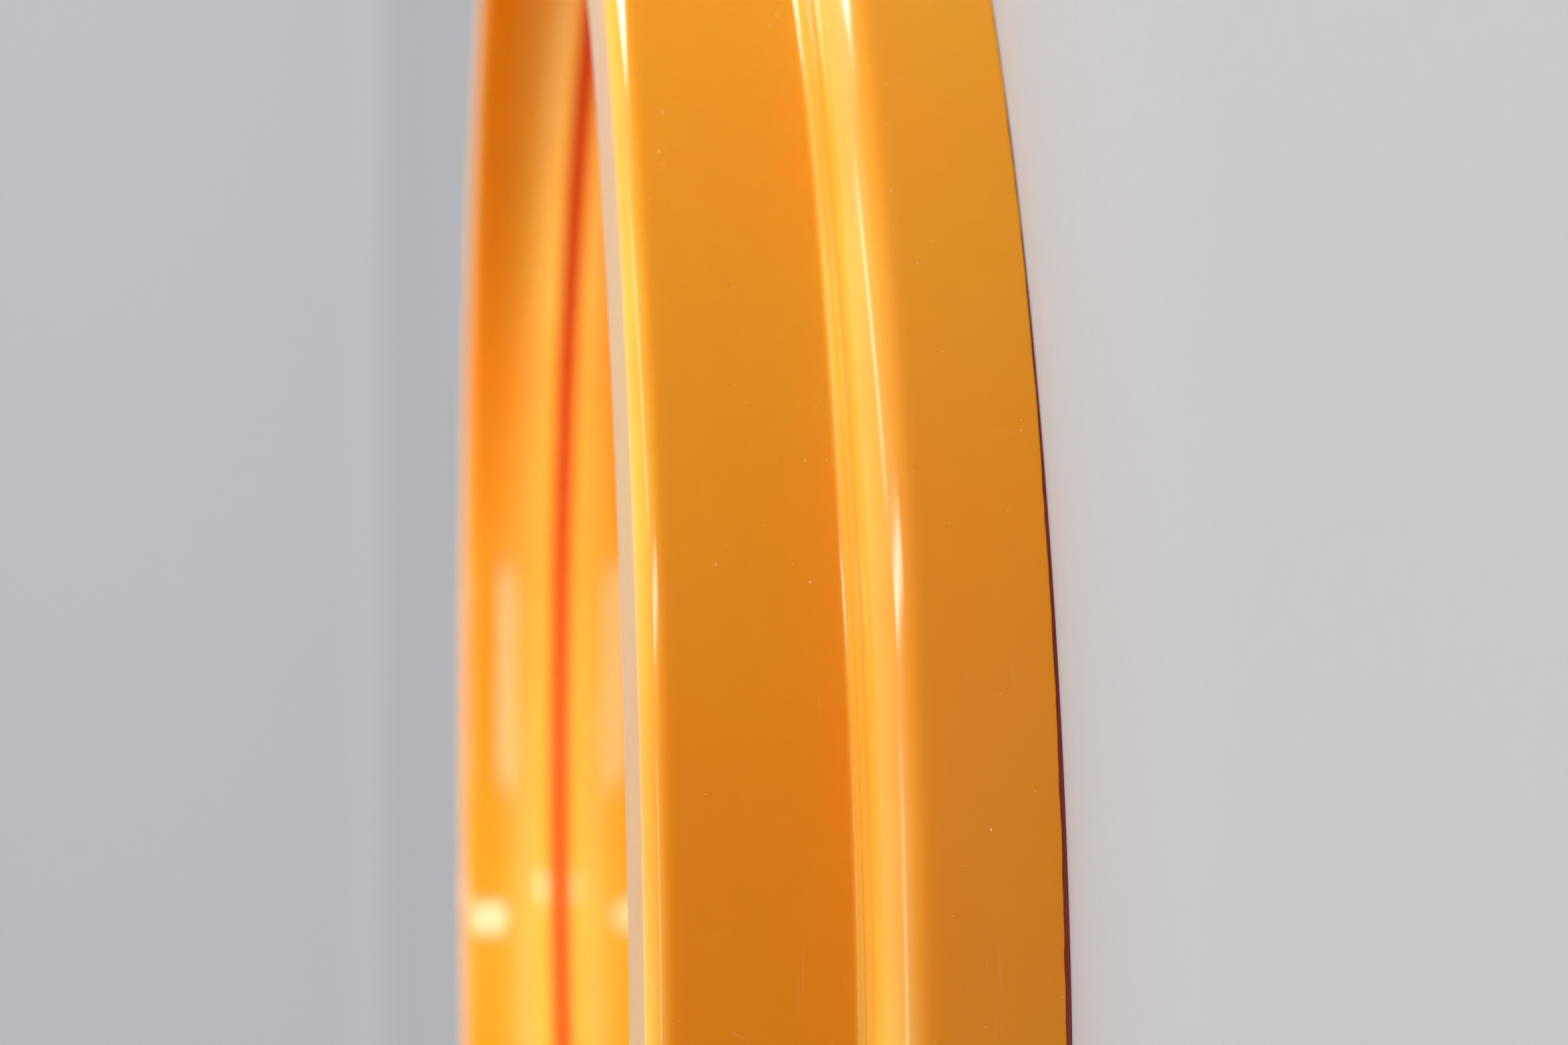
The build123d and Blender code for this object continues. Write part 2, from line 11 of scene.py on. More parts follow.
import bmesh
import bpy
import numpy as np
from mathutils import Matrix, Vector

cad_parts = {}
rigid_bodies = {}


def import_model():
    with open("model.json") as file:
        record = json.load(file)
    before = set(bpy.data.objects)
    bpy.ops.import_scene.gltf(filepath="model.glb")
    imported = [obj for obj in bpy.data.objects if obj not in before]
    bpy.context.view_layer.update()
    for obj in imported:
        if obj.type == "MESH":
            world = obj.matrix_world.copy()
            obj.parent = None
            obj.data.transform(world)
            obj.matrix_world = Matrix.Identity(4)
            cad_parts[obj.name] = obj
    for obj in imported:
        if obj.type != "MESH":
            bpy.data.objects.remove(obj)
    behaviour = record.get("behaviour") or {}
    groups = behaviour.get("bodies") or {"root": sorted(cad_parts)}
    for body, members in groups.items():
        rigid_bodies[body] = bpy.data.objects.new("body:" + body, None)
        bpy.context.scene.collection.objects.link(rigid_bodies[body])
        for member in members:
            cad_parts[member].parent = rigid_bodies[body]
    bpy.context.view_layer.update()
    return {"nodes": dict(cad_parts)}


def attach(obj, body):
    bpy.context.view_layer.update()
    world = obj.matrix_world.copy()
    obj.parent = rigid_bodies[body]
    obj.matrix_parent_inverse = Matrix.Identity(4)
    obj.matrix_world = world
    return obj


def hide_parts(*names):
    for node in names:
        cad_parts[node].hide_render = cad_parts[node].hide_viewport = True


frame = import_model()
MM = 0.001

# ---------------------------------------------------------------- section of the limb, mm
# _D is a distance inward from the outline, _Z a height above the table, _R a radius;
# a _TIP_R is the radius left at the tight corners of an inset loop
HEIGHT = 20.0
BASE_Z = 0.3
LEDGE_Z = 9.05
SHELF_Z = 7.3
SHOULDER_R = 2.6
REBATE_D = 11.1
FRAME_INNER_D = 17.0
FRAME_TIP_R = 3.0
PANEL_D = 13.0
PANEL_TOP = 3.3
PLATE_TIP_R = 2.5

STRIP = (1.0, 11.5)              # outer and inner side of the friction strip
STRIP_TOP = 2.35
STRIP_GAP = 0.1                  # between the strip and each side of its groove
GROOVE = (STRIP[0] - STRIP_GAP, STRIP[1] + STRIP_GAP)
GROOVE_TOP = 2.4
TREAD_D = 0.1
TREAD_DROP = 0.004               # from the lower edge of the frame down to the strip

RIM_D = 5.7
OUTER_R = 1.5
LAND_D = RIM_D + OUTER_R         # the sloping top land starts here
LAND_FALL = 0.33
INNER_R = 0.9
WALL_D = 11.8
STEP_D = WALL_D - INNER_R
TIP_R = 6.5
COVE_R = 4.1
COVE_RISE = 1.38                 # upward stretch of the cove
FOOT_D = 16.0
FOOT_Z = 11.05
FOOT_TOP = FOOT_Z + 0.3
FILLET_R = 0.55

WEB_TOP = 10.3
GASKET = (11.6, 16.3)            # outer and inner side of the gasket
GASKET_BEVEL = 0.12

# ---------------------------------------------------------------- outline
HEAD_R = 104.6
HEAD_X = 195.4
HEAD_ANGLES = np.radians(np.linspace(-94.5, 112, 22))
# (x, y) in mm, before centring
STATIONS = (
    [(-262, -8), (-205, -39), (-130, -65.5), (-50, -84.5), (35, -96.3), (115, -102.6)]
    + [(HEAD_X + HEAD_R * math.cos(a), HEAD_R * math.sin(a)) for a in HEAD_ANGLES]
    + [(128, 82), (104, 60), (80, 55), (60, 71), (44, 96), (32, 103.5), (21, 98), (9, 76),
       (-19, 47), (-63, 24), (-118, 14), (-176, 19), (-228, 37), (-262, 61), (-283, 77),
       (-295, 76), (-299, 63), (-289, 24)]
)
COUNT = 3200                     # points on the outline
RING_COUNT = 2400                # points on a rounded inset
SOFTEN = 4.0                     # smoothing length of the outline
OVERSAMPLE = 8
KNOT_POWER = 0.75                # knot spacing is chord length to this power
PLAIN_INSET = 8.0                # shallower insets need no care at the corners


def even(curve, count):
    """The closed curve resampled to count evenly spaced points."""
    ring = np.vstack([curve, curve[:1]])
    length = np.r_[0, np.cumsum(np.hypot(*np.diff(ring, axis=0).T))]
    at = np.linspace(0, length[-1], count, endpoint=False)
    return np.c_[np.interp(at, length, ring[:, 0]), np.interp(at, length, ring[:, 1])]


def fair(stations, count, soften):
    """A closed cubic spline through the stations, then a Gaussian smoothing along it."""
    points = np.asarray(stations, float)
    total = len(points)
    closed = np.vstack([points, points[:1]])
    gap = np.hypot(*np.diff(closed, axis=0).T) ** KNOT_POWER
    knots = np.r_[0, np.cumsum(gap)]
    system, target = np.zeros((total, total)), np.zeros((total, 2))
    for i in range(total):
        system[i, (i - 1) % total] += gap[i - 1]
        system[i, i] += 2 * (gap[i - 1] + gap[i])
        system[i, (i + 1) % total] += gap[i]
        ahead = (closed[i + 1] - closed[i]) / gap[i]
        behind = (closed[i] - points[i - 1]) / gap[i - 1]
        target[i] = 6 * (ahead - behind)
    bend = np.linalg.solve(system, target)
    bend = np.vstack([bend, bend[:1]])

    at = np.linspace(0, knots[-1], count * OVERSAMPLE, endpoint=False)
    k = np.clip(np.searchsorted(knots, at, side="right") - 1, 0, total - 1)
    after, before = (knots[k + 1] - at)[:, None], (at - knots[k])[:, None]
    width = gap[k][:, None]
    curve = (bend[k] * after**3 + bend[k + 1] * before**3) / (6 * width)
    curve += (closed[k] / width - bend[k] * width / 6) * after
    curve += (closed[k + 1] / width - bend[k + 1] * width / 6) * before
    curve = even(curve, count)

    length = np.hypot(*(np.roll(curve, -1, 0) - curve).T).sum()
    frequency = np.fft.fftfreq(count, d=length / count)
    keep = np.exp(-2 * (math.pi * frequency * soften) ** 2)[:, None]
    return even(np.fft.ifft(np.fft.fft(curve, axis=0) * keep, axis=0).real, count)


def nearest(points, curve, batch=300):
    """Distance from each point to a closed polyline, and how far along it, in points."""
    step = np.roll(curve, -1, 0) - curve
    size = (step**2).sum(1)
    distance, along = np.empty(len(points)), np.empty(len(points))
    for i in range(0, len(points), batch):
        gap = points[i : i + batch][:, None] - curve[None]
        part = np.clip((gap * step).sum(2) / size, 0, 1)
        far = ((gap - part[..., None] * step) ** 2).sum(2)
        k = far.argmin(1)
        rows = np.arange(len(k))
        distance[i : i + batch] = np.sqrt(far[rows, k])
        along[i : i + batch] = k + part[rows, k]
    return distance, along


OUTLINE = fair(STATIONS, COUNT, SOFTEN)
OUTLINE = OUTLINE - (OUTLINE.min(0) + OUTLINE.max(0)) / 2
TANGENT = np.roll(OUTLINE, -1, 0) - np.roll(OUTLINE, 1, 0)
TANGENT /= np.hypot(*TANGENT.T)[:, None]
INWARD = np.c_[-TANGENT[:, 1], TANGENT[:, 0]]
ARC = np.arange(COUNT) * float(np.hypot(*(OUTLINE[1] - OUTLINE[0])))


def inset(d):
    """The outline moved inward by d, without the parts that cross over at tight corners."""
    moved = OUTLINE + d * INWARD
    clear = nearest(moved, OUTLINE)[0] >= d - 0.02
    return even(moved[clear], RING_COUNT)


def inset_round(d, corner):
    """The inset by d with its corners rounded: a deeper inset grown back by corner."""
    inner = inset(d + corner)
    along = np.roll(inner, -1, 0) - inner
    heading = np.arctan2(along[:, 1], along[:, 0])
    points = []
    for i in range(RING_COUNT):
        turn = (heading[i] - heading[i - 1] + math.pi) % (2 * math.pi) - math.pi
        parts = max(1, int(turn * corner / 0.25)) if turn > 0.02 else 1
        for j in range(parts):
            angle = heading[i - 1] + turn * (j + 0.5) / parts
            points.append(inner[i] + corner * np.array([math.sin(angle), -math.cos(angle)]))
    return even(np.array(points), RING_COUNT)


@lru_cache(maxsize=None)
def loop(d, corner=None):
    """The inset by d with one point for each outline station, in step round the corners."""
    straight = OUTLINE + d * INWARD
    if d < PLAIN_INSET:
        return straight
    ring = inset_round(d, corner)
    distance, along = nearest(straight, ring)
    good = np.flatnonzero(distance < 0.06)
    # places along the ring, unwrapped and never going back
    place = along[good]
    half = RING_COUNT // 2
    place = np.r_[place[:1],
                  place[:1] + np.cumsum((np.diff(place) + half) % RING_COUNT - half)]
    place = np.maximum.accumulate(np.r_[place, place[:1] + RING_COUNT])
    wrapped = np.r_[good, good[:1] + COUNT]
    at = np.roll(np.interp(np.arange(good[0], good[0] + COUNT), wrapped, place), good[0])
    closed = np.r_[ring, ring[:1]]
    k = np.floor(at).astype(int)
    part = (at - k)[:, None]
    k %= RING_COUNT
    return closed[k] * (1 - part) + closed[k + 1] * part


def between(d, outer, inner):
    """A loop at d blended from two known loops, each given as (d, corner)."""
    part = (d - outer[0]) / (inner[0] - outer[0])
    return loop(*outer) * (1 - part) + loop(*inner) * part


def arc(d, z, radius, start, end, count):
    """(d, z) points of an arc about (d, z), angles in degrees from +d towards +z."""
    return [(d + radius * math.cos(math.radians(a)), z + radius * math.sin(math.radians(a)))
            for a in np.linspace(start, end, count)]


# ---------------------------------------------------------------- the swept pieces
SHARP_ANGLE = math.radians(38)


def sweep(name, section):
    """A closed ring whose section is a list of (loop, z); z is a number or one per station.
    UV "limb" is (distance along the outline, distance round the section), in metres."""
    rows = np.array([np.c_[ring, np.broadcast_to(z, COUNT)] for ring, z in section])
    size = len(rows)
    verts = rows.transpose(1, 0, 2).reshape(-1, 3) * MM
    sides = np.sqrt((np.diff(np.concatenate([rows, rows[:1]]), axis=0) ** 2).sum(2))
    around = np.r_[0, np.cumsum(np.median(sides, axis=1))]
    i = np.arange(COUNT)[:, None]
    j = np.arange(size)[None]
    next_i, next_j = (i + 1) % COUNT, (j + 1) % size
    quads = np.c_[(i * size + j).ravel(), (next_i * size + j).ravel(),
                  (next_i * size + next_j).ravel(), (i * size + next_j).ravel()]

    mesh = bpy.data.meshes.new(name)
    mesh.vertices.add(len(verts))
    mesh.vertices.foreach_set("co", verts.astype(np.float32).ravel())
    mesh.loops.add(quads.size)
    mesh.loops.foreach_set("vertex_index", quads.astype(np.int32).ravel())
    mesh.polygons.add(len(quads))
    mesh.polygons.foreach_set("loop_start", (np.arange(len(quads)) * 4).astype(np.int32))
    mesh.polygons.foreach_set("loop_total", np.full(len(quads), 4, np.int32))
    mesh.update(calc_edges=True)

    layer = mesh.uv_layers.new(name="limb")
    u0 = np.broadcast_to(ARC[:, None], (COUNT, size)).ravel()
    u1 = u0 + ARC[1]
    v0 = np.broadcast_to(around[None, :-1], (COUNT, size)).ravel()
    v1 = np.broadcast_to(around[None, 1:], (COUNT, size)).ravel()
    uvs = np.stack([np.c_[u0, v0], np.c_[u1, v0], np.c_[u1, v1], np.c_[u0, v1]], axis=1)
    layer.data.foreach_set("uv", (uvs * MM).astype(np.float32).ravel())
    mesh.polygons.foreach_set("use_smooth", np.ones(len(quads), bool))
    obj = bpy.data.objects.new(name, mesh)
    bpy.context.scene.collection.objects.link(obj)

    bm = bmesh.new()
    bm.from_mesh(mesh)
    bmesh.ops.recalc_face_normals(bm, faces=bm.faces)
    for edge in bm.edges:
        if len(edge.link_faces) == 2 and edge.calc_face_angle(0) > SHARP_ANGLE:
            edge.smooth = False
    bm.to_mesh(mesh)
    bm.free()
    return obj


def lower_edge():
    """Height of the trimmed lower edge of the frame, station by station."""
    x, y = OUTLINE.T
    # it wanders a little, as a hand-finished parting edge does
    wander = 0.20 + 0.06 * np.sin(ARC / 31.0 + 0.7) + 0.02 * np.sin(ARC / 11.3 + 2.0)
    # under the head on the -y side it falls steadily towards +x, so the dark strip shows there
    # as a band widening away from +x: painted shade, standing in for the shadow in the gap
    # under the frame
    from_head = x - 227.0
    share = np.exp(-((from_head / 55.0) ** 4)) * (y < -60)
    slope = np.clip(0.165 - from_head * 0.0056, 0.03, 0.29)
    edge = wander * (1 - share) + slope * share
    noise = np.random.default_rng(7).normal(size=COUNT)
    keep = np.exp(-(np.fft.fftfreq(COUNT, d=ARC[1]) * 1.6) ** 2)
    grit = np.fft.ifft(np.fft.fft(noise) * keep).real
    return np.clip(edge + 0.02 * grit, 0.025, 0.295)


EDGE = lower_edge()


def frame_piece():
    shoulder_z = LEDGE_Z - SHOULDER_R
    panel, groove_inner = loop(PANEL_D, PLATE_TIP_R), loop(GROOVE[1], PLATE_TIP_R)
    rebate, inner = loop(REBATE_D, PLATE_TIP_R), loop(FRAME_INNER_D, FRAME_TIP_R)
    # lower edge with a small chamfer, outer wall, shoulder and ledge
    section = [(loop(0.06), EDGE), (loop(0.0), EDGE + 0.05)]
    section += [(loop(0.0), z) for z in np.linspace(1.3, shoulder_z - 0.3, 7)]
    section += [(loop(d), z) for d, z in arc(SHOULDER_R, shoulder_z, SHOULDER_R, 180, 90, 17)]
    section += [(loop(d), LEDGE_Z) for d in (3.2, 4.0, 4.8, 5.4, 6.4)]
    # rebate and shelf, then back under through the panel recess and the strip groove
    section += [(rebate, LEDGE_Z), (rebate, SHELF_Z), (inner, SHELF_Z), (inner, PANEL_TOP),
                (panel, PANEL_TOP), (panel, BASE_Z), (groove_inner, BASE_Z),
                (groove_inner, GROOVE_TOP), (loop(GROOVE[0]), GROOVE_TOP),
                (loop(GROOVE[0]), EDGE)]
    return sweep("edge_frame_limb", section)


def rim_piece():
    # loops as (d, corner)
    land, step = (LAND_D, None), (STEP_D, TIP_R + INNER_R)
    wall, foot = (WALL_D, TIP_R), (FOOT_D, TIP_R - (FOOT_D - WALL_D))
    land_z = HEIGHT - LAND_FALL
    fillet_d = RIM_D - FILLET_R
    # fillet on the ledge, outer wall and rounded outer corner
    section = [(loop(fillet_d), LEDGE_Z)]
    section += [(loop(d), z)
                for d, z in arc(fillet_d, LEDGE_Z + FILLET_R + 0.01, FILLET_R, 270, 360, 11)]
    section += [(loop(RIM_D), z) for z in np.linspace(LEDGE_Z + 1.4, land_z - OUTER_R - 0.4, 7)]
    section += [(loop(d), z) for d, z in arc(LAND_D, land_z - OUTER_R, OUTER_R, 180, 96, 15)]
    # sloping land, rounded inner corner and inner wall
    section += [(between(d, land, step), HEIGHT - LAND_FALL * (STEP_D - d) / (STEP_D - LAND_D))
                for d in (LAND_D, 8.0, 9.0, 10.0)]
    section += [(between(d, step, wall), z)
                for d, z in arc(STEP_D, HEIGHT - INNER_R, INNER_R, 90, 0, 9)]
    section += [(loop(*wall), z) for z in (18.2, 17.4)]
    # cove, foot and underside
    section += [(between(d, wall, foot), FOOT_TOP + (z - FOOT_TOP) * COVE_RISE)
                for d, z in arc(WALL_D + COVE_R, FOOT_TOP + COVE_R, COVE_R, 180, 270, 19)]
    under = loop(STEP_D, PLATE_TIP_R)
    section += [(loop(*foot), FOOT_TOP), (loop(*foot), FOOT_Z), (under, FOOT_Z),
                (under, LEDGE_Z)]
    return sweep("perimeter_rim_limb", section)


def gasket_piece():
    # a real gasket whose deep red edge also stands in for the shaded, inter-reflected crease at
    # the foot of the rim (painted shade)
    outer, inner = loop(GASKET[0], PLATE_TIP_R), loop(GASKET[1], 2.2)
    bevel = loop(GASKET[1] - GASKET_BEVEL, 2.3)
    return sweep("rim_gasket_cord", [
        (outer, WEB_TOP), (bevel, WEB_TOP), (inner, WEB_TOP + GASKET_BEVEL),
        (inner, FOOT_Z - GASKET_BEVEL), (bevel, FOOT_Z), (outer, FOOT_Z)])


def strip_piece():
    # the strip is rubber, and its thin outer face, seen under the frame's edge, also stands in
    # for the shadow in the gap beneath (painted shade)
    outer, inner = loop(STRIP[0]), loop(STRIP[1], PLATE_TIP_R)
    tread_z = EDGE - TREAD_DROP
    return sweep("friction_strip_band", [
        (loop(TREAD_D + 0.04), 0.0), (loop(TREAD_D), 0.02), (loop(TREAD_D), tread_z),
        (outer, tread_z), (outer, STRIP_TOP), (inner, STRIP_TOP), (inner, 0.0),
        (loop(6.0), 0.0)])


# ---------------------------------------------------------------- shader building
def srgb(*channels):
    def linear(value):
        value /= 255
        return value / 12.92 if value <= 0.04045 else ((value + 0.055) / 1.055) ** 2.4
    return (*map(linear, channels), 1.0)


def tint(colour, red, green, blue):
    return (colour[0] * red, colour[1] * green, colour[2] * blue, 1.0)


class Shader:
    """A material and short calls for building its node tree. Spans are (from, to) pairs."""

    def __init__(self, name):
        self.material = bpy.data.materials.new(name)
        self.material.use_nodes = True
        self.tree = self.material.node_tree
        self.tree.nodes.clear()
        self.out = self.tree.nodes.new("ShaderNodeOutputMaterial")

    def add(self, kind, **settings):
        node = self.tree.nodes.new("ShaderNode" + kind)
        for key, value in settings.items():
            setattr(node, key, value)
        return node

    def feed(self, socket, value):
        if isinstance(value, bpy.types.NodeSocket):
            self.tree.links.new(value, socket)
        else:
            socket.default_value = value

    def calc(self, operation, first, second=0.0, clamp=False):
        node = self.add("Math", operation=operation, use_clamp=clamp)
        self.feed(node.inputs[0], first)
        self.feed(node.inputs[1], second)
        return node.outputs[0]

    def times(self, first, second):
        return self.calc("MULTIPLY", first, second)

    def mapped(self, vector, scale=(1, 1, 1), rotation=(0, 0, 0), shift=(0, 0, 0)):
        node = self.add("Mapping")
        self.feed(node.inputs["Vector"], vector)
        node.inputs["Location"].default_value = shift
        node.inputs["Rotation"].default_value = rotation
        node.inputs["Scale"].default_value = scale
        return node.outputs[0]

    def coords(self, scale=(1, 1, 1), rotation=(0, 0, 0), uv=None):
        if uv:
            source = self.add("UVMap", uv_map=uv).outputs[0]
        else:
            source = self.add("TexCoord").outputs["Object"]
        return self.mapped(source, scale, rotation)

    def separate(self, vector):
        node = self.add("SeparateXYZ")
        self.feed(node.inputs[0], vector)
        return node.outputs

    def noise(self, vector, scale=1.0, detail=3.0, rough=0.5):
        node = self.add("TexNoise")
        self.feed(node.inputs["Vector"], vector)
        node.inputs["Scale"].default_value = scale
        node.inputs["Detail"].default_value = detail
        node.inputs["Roughness"].default_value = rough
        return node.outputs["Fac"]

    def ramp(self, value, span, out=(0.0, 1.0)):
        """A smooth step over span, from out[0] to out[1]."""
        node = self.add("MapRange", interpolation_type="SMOOTHSTEP")
        self.feed(node.inputs["Value"], value)
        node.inputs["From Min"].default_value, node.inputs["From Max"].default_value = span
        node.inputs["To Min"].default_value, node.inputs["To Max"].default_value = out
        return node.outputs["Result"]

    def patches(self, vector, scale, span, out, detail=3.0, rough=0.5):
        return self.ramp(self.noise(vector, scale, detail, rough), span, out)

    def mix(self, share, first, second, mode="MIX"):
        node = self.add("Mix", data_type="RGBA", blend_type=mode)
        for index, value in ((0, share), (6, first), (7, second)):
            self.feed(node.inputs[index], value)
        return node.outputs[2]

    def filtered(self, colour, red, green, blue):
        return self.mix(1.0, colour, (red, green, blue, 1.0), "MULTIPLY")

    def facing_up(self, span):
        normal = self.add("NewGeometry").outputs["Normal"]
        return self.ramp(self.separate(normal)["Z"], span)

    def flecks(self, vector, scale, size, keep):
        """Sparse small spots: 1 inside a spot. keep is the share of cells that have one."""
        cells = self.add("TexVoronoi")
        self.feed(cells.inputs["Vector"], vector)
        cells.inputs["Scale"].default_value = scale
        spot = self.ramp(cells.outputs["Distance"], (size * 0.4, size), (1.0, 0.0))
        pick = self.add("SeparateColor")
        self.feed(pick.inputs[0], cells.outputs["Color"])
        return self.times(spot, self.calc("LESS_THAN", pick.outputs[0], keep))

    def hairlines(self, vector, along, across, width, keep):
        """Thin broken lines along the vector's x axis; along and across are scales."""
        field = self.noise(self.mapped(vector, (along, across, across)), detail=1.0, rough=0.4)
        off = self.calc("ABSOLUTE", self.calc("SUBTRACT", field, 0.5))
        line = self.ramp(off, (0.0, width), (1.0, 0.0))
        breaks = self.mapped(vector, (along * 1.7, across * 0.35, across * 0.35),
                             shift=(3.1, 7.7, 1.3))
        gate = self.ramp(self.noise(breaks, detail=0.0), (1 - keep, 1 - keep + 0.08))
        return self.times(line, gate)

    def bump(self, height, strength, distance, normal=None):
        node = self.add("Bump")
        node.inputs["Strength"].default_value = strength
        node.inputs["Distance"].default_value = distance
        self.feed(node.inputs["Height"], height)
        if normal is not None:
            self.feed(node.inputs["Normal"], normal)
        return node.outputs[0]

    def principled(self, **inputs):
        node = self.add("BsdfPrincipled")
        for key, value in inputs.items():
            self.feed(node.inputs[key.replace("_", " ")], value)
        self.tree.links.new(node.outputs[0], self.out.inputs[0])
        return self.material


# ---------------------------------------------------------------- materials
SCRATCH_TONE = (1.0, 0.80, 0.50, 1.0)


def plastic_marks(mat, point, uv, wear):
    """Polishing lines along the limb, scratches in two directions and small pale dings."""
    run = mat.coords(uv=uv) if uv else point
    lines = mat.hairlines(run, along=42.0, across=5200.0, width=0.010, keep=0.22)
    rising = mat.hairlines(mat.coords(rotation=(0.5, 0.9, 0.7)),
                           along=95.0, across=4300.0, width=0.008, keep=0.22)
    falling = mat.hairlines(mat.coords(rotation=(-0.8, 0.3, -1.1)),
                            along=130.0, across=3900.0, width=0.007, keep=0.22)
    scratch = mat.calc("MAXIMUM", mat.times(lines, 0.7), mat.calc("MAXIMUM", rising, falling))
    large = mat.flecks(mat.coords(scale=(1, 1, 2.6), rotation=(0.3, 0.2, 0.9)),
                       scale=400.0, size=0.050, keep=0.50)
    small = mat.flecks(mat.coords(scale=(2.4, 1, 1), rotation=(0.9, 0.6, 0.1)),
                       scale=900.0, size=0.055, keep=0.22)
    dings = mat.calc("MAXIMUM", large, small)
    return mat.calc("MAXIMUM", mat.times(scratch, 0.35 * wear), mat.times(dings, 0.8 * wear))


def gloss_plastic(name, wall, sunny, up, rough, uv=None, coat=0.35, coat_top=False, wear=1.0,
                  peel=1.0, shine=0.3, back=None, climb=(0.0, 0.012)):
    """Moulded, polished orange plastic: cloudy pigment, orange peel and small marks.
    wall colours the sides; sunny and up are painted light, lit tones for the sides further
    +x and for the upward faces; back is the painted pair for the +y side, at its +x end and
    its -x end. climb is the height span of a painted shading that reddens the upper sides.
    coat_top puts the clear coat on level faces only."""
    mat = Shader(name)
    point = mat.coords()
    cloud = mat.noise(point, scale=38.0, detail=4.0, rough=0.55)
    fine = mat.noise(point, scale=620.0, detail=3.0, rough=0.6)
    streak = mat.noise(mat.coords(uv=uv, scale=(14, 900, 1) if uv else (14, 420, 420)),
                       rough=0.6)
    # painted light: the sides shift from the wall tone to a lit, yellower tone towards the +x
    # end of the head
    place = mat.separate(mat.coords())
    slant = mat.calc("ADD", place["X"], mat.times(place["Y"], 0.25))
    side = mat.mix(mat.ramp(slant, (0.172, 0.234)), wall, sunny)
    # painted light on the +y side: darker at its +x end, lighter and yellower towards -x, with
    # less yellow upward faces
    if back:
        end = mat.mix(mat.ramp(place["X"], (0.215, 0.262)), back[1], back[0])
        turn = mat.ramp(place["Y"], (-0.03, 0.06))
        side = mat.mix(turn, side, end)
        up = mat.mix(turn, up, tint(up, 0.97, 0.88, 0.90))
    # painted shading: a touch redder higher up the wall and less red low down, offsetting the
    # red bounce light from the ledge
    low, high = mat.filtered(side, 0.91, 1.0, 1.0), mat.filtered(side, 1.05, 1.0, 1.0)
    side = mat.mix(mat.ramp(place["Z"], climb), low, high)
    # painted light: the upward faces take the lit, yellower up tone
    tone = mat.mix(mat.facing_up((0.03, 0.75)), side, up)
    for field, span, share, factors in (
        (cloud, (0.25, 0.75), 0.55, (0.93, 0.86, 0.7)),
        (streak, (0.45, 0.8), 0.05, (1.1, 1.25, 1.6)),
        (fine, (0.35, 0.8), 0.06, (1.1, 1.3, 2.0)),
    ):
        tone = mat.mix(mat.ramp(field, span, (0.0, share)), tone, tint(wall, *factors))
    mark = plastic_marks(mat, point, uv, wear)
    tone = mat.mix(mat.times(mark, 0.55), tone, SCRATCH_TONE)
    polish = mat.patches(point, scale=90.0, detail=4.0, rough=0.6,
                         span=(0.3, 0.75), out=(rough * 0.75, rough * 1.35))
    roughness = mat.calc("ADD", polish, mat.times(mark, 0.30), clamp=True)
    wave = mat.bump(mat.noise(point, scale=130.0, detail=2.0),
                    strength=0.5 * peel, distance=0.00006)
    micro = mat.bump(fine, strength=0.35 * peel, distance=0.00001, normal=wave)
    cut = mat.bump(mark, strength=-0.6, distance=0.00003, normal=micro)
    if coat_top:
        coat = mat.calc("MAXIMUM", mat.facing_up((0.93, 0.99)), 0.0)
    coat_wave = mat.bump(mat.noise(point, scale=95.0, detail=2.0),
                         strength=0.35 * peel, distance=0.00005)
    return mat.principled(
        Base_Color=tone, Roughness=roughness, IOR=1.5, Specular_IOR_Level=shine, Normal=cut,
        Coat_Weight=coat, Coat_Roughness=0.05, Coat_Normal=coat_wave,
        Subsurface_Weight=0.05, Subsurface_Radius=(1.0, 0.32, 0.06), Subsurface_Scale=0.0022)


def matte_plastic(name, base):
    mat = Shader(name)
    point = mat.coords()
    cloud = mat.patches(point, scale=45.0, detail=4.0, span=(0.3, 0.75), out=(0.0, 0.6))
    tone = mat.mix(cloud, base, tint(base, 0.8, 0.8, 0.8))
    scuff = mat.hairlines(mat.coords(rotation=(0, 0, 0.6)),
                          along=60.0, across=2600.0, width=0.02, keep=0.35)
    tone = mat.mix(mat.times(scuff, 0.35), tone, (1.0, 0.85, 0.62, 1.0))
    grain = mat.noise(point, scale=2400.0, detail=4.0, rough=0.7)
    wave = mat.bump(mat.noise(point, scale=60.0), strength=0.4, distance=0.00015)
    return mat.principled(
        Base_Color=tone,
        Roughness=mat.patches(point, scale=160.0, span=(0.3, 0.7), out=(0.42, 0.6)),
        Normal=mat.bump(grain, strength=0.55, distance=0.00006, normal=wave))


def rubber(name, base, dust, shine):
    mat = Shader(name)
    point = mat.coords()
    dusty = mat.patches(point, scale=300.0, detail=5.0, rough=0.65,
                        span=(0.4, 0.8), out=(0.0, 0.5))
    tone = mat.mix(dusty, base, dust)
    speck = mat.flecks(point, scale=900.0, size=0.22, keep=0.05)
    tone = mat.mix(mat.times(speck, 0.25), tone, (0.45, 0.30, 0.26, 1.0))
    grain = mat.noise(point, scale=1600.0, detail=4.0, rough=0.6)
    return mat.principled(
        Base_Color=tone, Specular_IOR_Level=shine,
        Roughness=mat.patches(point, scale=220.0, span=(0.3, 0.7), out=(0.55, 0.78)),
        Normal=mat.bump(grain, strength=0.6, distance=0.00006))


